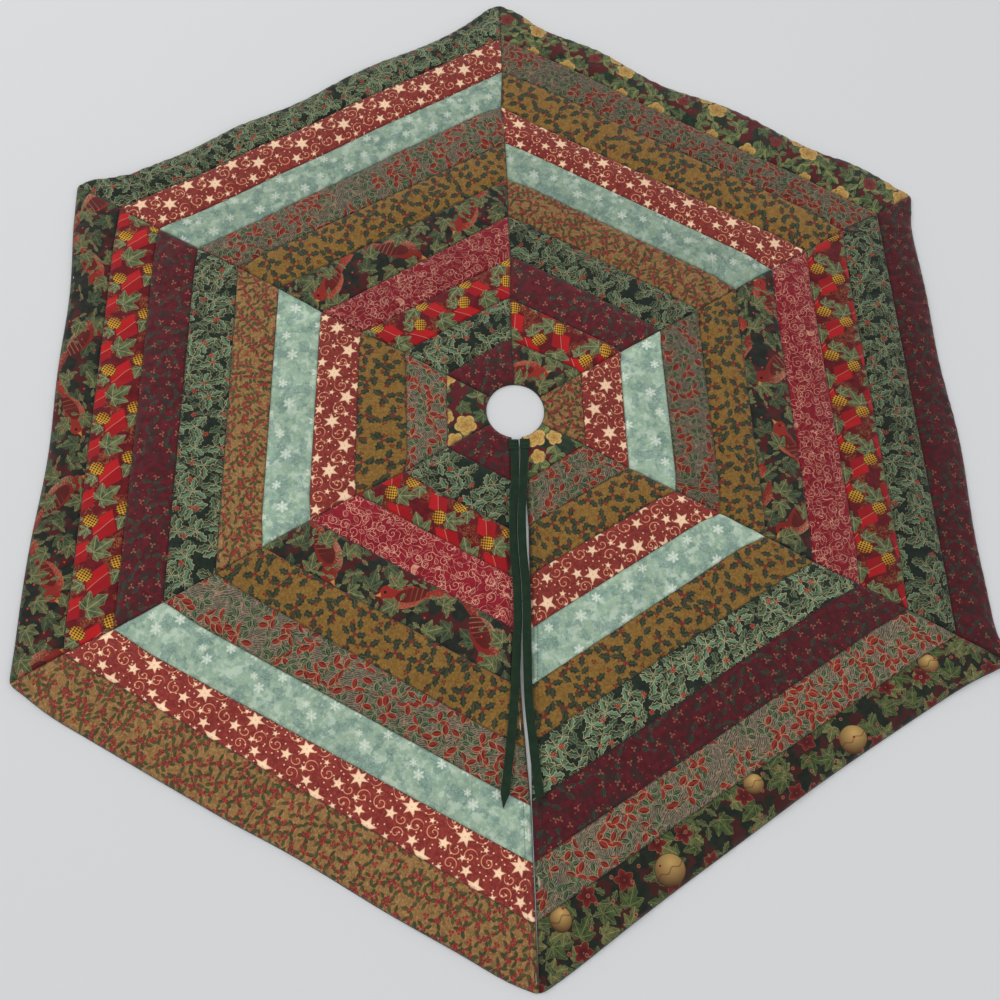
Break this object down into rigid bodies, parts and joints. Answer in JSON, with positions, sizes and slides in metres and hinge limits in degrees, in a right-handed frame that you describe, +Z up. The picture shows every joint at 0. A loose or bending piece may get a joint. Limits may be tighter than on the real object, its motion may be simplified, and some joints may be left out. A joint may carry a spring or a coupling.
{
  "type": "tree skirt",
  "caption": "Hexagonal quilted tree skirt pieced from rings of printed cotton strips, with a round trunk hole, a slit to one corner and ribbon ties.",
  "frame": {"origin": "centre of the trunk hole, on the underside of the backing", "axes": "+Z up; the slit runs from the hole along -Y to the front corner; +Y points to the back corner; +X is the viewer's right when facing the skirt from the slit side"},
  "size_m": [1.077, 1.243, 0.0074],
  "materials": {
    "star_red": "matt printed cotton, dark red with cream stars",
    "frost_mint": "matt printed cotton, mottled mint with frosty stars",
    "holly_gold": "matt printed cotton, antique gold with dark holly leaves and berries",
    "berry_gold": "matt printed cotton, tan gold with small red berries",
    "holly_green": "matt printed cotton, dark green holly with gold outlines",
    "burgundy": "matt printed cotton, mottled burgundy with pink dots",
    "feather_grey": "matt printed cotton, grey and taupe with fine feather lines",
    "ivy_red": "matt printed cotton, red with ivy leaves and pinecones",
    "vine_crimson": "matt printed cotton, crimson with pale looping vines",
    "bird_holly": "matt printed cotton, dark holly with red birds",
    "rose_gold_green": "matt printed cotton, dark green with gold roses",
    "ornament_holly": "matt printed cotton, dark holly with gold baubles",
    "batting_cream": "soft off-white wadding",
    "backing_forest": "matt cotton, dark green",
    "ribbon_green": "matt grosgrain ribbon, dark green"
  },
  "bodies": {
    "right_half": {"back_right_strip_1": "rose_gold_green", "back_right_strip_2": "feather_grey", "back_right_strip_3": "holly_gold", "back_right_strip_4": "star_red", "back_right_strip_5": "frost_mint", "back_right_strip_6": "berry_gold", "back_right_strip_7": "holly_green", "back_right_centre_strips": "burgundy", "right_strip_1": "burgundy", "right_strip_2": "holly_green", "right_strip_3": "ivy_red", "right_strip_4": "vine_crimson", "right_strip_5": "bird_holly", "right_strip_6": "holly_gold", "right_strip_7": "feather_grey", "right_centre_strips": "frost_mint", "right_half_batting": "batting_cream", "right_half_backing": "backing_forest"},
    "left_half": {"left_strip_1": "bird_holly", "left_strip_2": "ivy_red", "left_strip_3": "burgundy", "left_strip_4": "holly_green", "left_strip_5": "berry_gold", "left_strip_6": "frost_mint", "left_strip_7": "star_red", "left_centre_strips": "holly_gold", "back_left_strip_1": "holly_green", "back_left_strip_2": "star_red", "back_left_strip_3": "frost_mint", "back_left_strip_4": "feather_grey", "back_left_strip_5": "holly_gold", "back_left_strip_6": "bird_holly", "back_left_strip_7": "vine_crimson", "back_left_centre_strips": "ivy_red", "left_half_batting": "batting_cream", "left_half_backing": "backing_forest"},
    "left_flap": {"front_left_strip_1": "berry_gold", "front_left_strip_2": "star_red", "front_left_strip_3": "frost_mint", "front_left_strip_4": "feather_grey", "front_left_strip_5": "holly_gold", "front_left_strip_6": "bird_holly", "front_left_strip_7": "vine_crimson", "front_left_centre_strips": "ivy_red", "left_flap_batting": "batting_cream", "left_flap_backing": "backing_forest", "left_tie_stitched_end": "ribbon_green"},
    "right_flap": {"front_right_strip_1": "ornament_holly", "front_right_strip_2": "feather_grey", "front_right_strip_3": "burgundy", "front_right_strip_4": "holly_green", "front_right_strip_5": "holly_gold", "front_right_strip_6": "frost_mint", "front_right_strip_7": "star_red", "front_right_centre_strips": "holly_gold", "right_flap_batting": "batting_cream", "right_flap_backing": "backing_forest", "right_tie_stitched_end": "ribbon_green"},
    "left_tie": {"left_tie": "ribbon_green"},
    "right_tie": {"right_tie": "ribbon_green"}
  },
  "joints": [
    {"name": "half_fold", "type": "hinge", "parent": "right_half", "child": "left_half", "pos_m": [0, 0.3, 0.014], "axis": [0, 1, 0], "range_deg": [0, 170]},
    {"name": "left_flap_fold", "type": "hinge", "parent": "left_half", "child": "left_flap", "pos_m": [0, 0, 0.0066], "axis": [-0.866, -0.5, 0], "range_deg": [0, 177]},
    {"name": "right_flap_fold", "type": "hinge", "parent": "right_half", "child": "right_flap", "pos_m": [0, 0, 0.0066], "axis": [-0.866, 0.5, 0], "range_deg": [0, 177]},
    {"name": "left_tie_swing", "type": "hinge", "parent": "left_flap", "child": "left_tie", "pos_m": [-0.003, -0.0522, 0.0054], "axis": [0, 0, -1], "range_deg": [-20, 50]},
    {"name": "right_tie_swing", "type": "hinge", "parent": "right_flap", "child": "right_tie", "pos_m": [0.008, -0.0522, 0.0066], "axis": [0, 0, 1], "range_deg": [-20, 50]}
  ]
}
